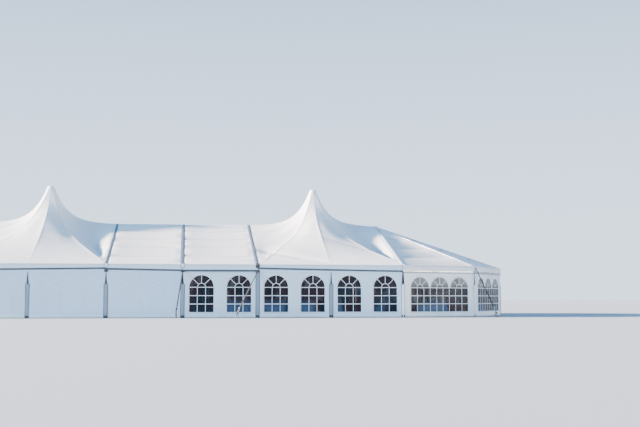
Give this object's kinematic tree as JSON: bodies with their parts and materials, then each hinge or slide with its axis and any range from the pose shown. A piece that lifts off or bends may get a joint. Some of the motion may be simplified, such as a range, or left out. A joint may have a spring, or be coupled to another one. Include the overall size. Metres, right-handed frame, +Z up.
{
  "type": "marquee tent",
  "caption": "Long white framed marquee with pitched roof, pointed peaks, hipped ends, hung curtain walls and arched clear windows.",
  "frame": {"origin": "middle of the plan at ground level", "axes": "+Z up, X along the ridge with the window walls on the +X side, -Y the front seen in the picture"},
  "size_m": [29.077, 13.6446, 5.87],
  "materials": {
    "aluminium": "satin",
    "dark_eave_beam": "satin",
    "white_pvc": "satin",
    "clear_pvc": "gloss",
    "grey_strap": "matt"
  },
  "bodies": {
    "root": {"portal_left_end": "aluminium", "portal_left": "aluminium", "portal_middle": "aluminium", "portal_right": "aluminium", "portal_right_end": "aluminium", "ridge_beam": "aluminium", "king_post_left": "aluminium", "king_post_right": "aluminium", "hip_frame_left": "aluminium", "hip_frame_right": "aluminium", "eave_beam_front": "dark_eave_beam", "eave_beam_back": "dark_eave_beam", "ridge_cover_left": "white_pvc", "ridge_cover_right": "white_pvc", "peak_cover_left": "white_pvc", "peak_cover_right": "white_pvc", "hip_cover_left": "white_pvc", "hip_cover_right": "white_pvc", "valance_front": "white_pvc", "valance_back": "white_pvc", "valance_left_end": "white_pvc", "valance_right_end": "white_pvc", "front_curtain_wall": "white_pvc", "front_window_wall": "white_pvc", "back_curtain_wall": "white_pvc", "back_window_wall": "white_pvc", "left_end_curtain_wall": "white_pvc", "right_end_window_wall": "white_pvc", "front_window_sheet": "clear_pvc", "back_window_sheet": "clear_pvc", "right_end_window_sheet": "clear_pvc", "guy_front_middle": "grey_strap", "guy_front_right": "grey_strap", "guy_front_left_corner": "grey_strap", "guy_front_right_corner": "grey_strap", "guy_back_middle": "grey_strap", "guy_back_right": "grey_strap", "guy_back_left_corner": "grey_strap", "guy_back_right_corner": "grey_strap"}
  },
  "joints": []
}
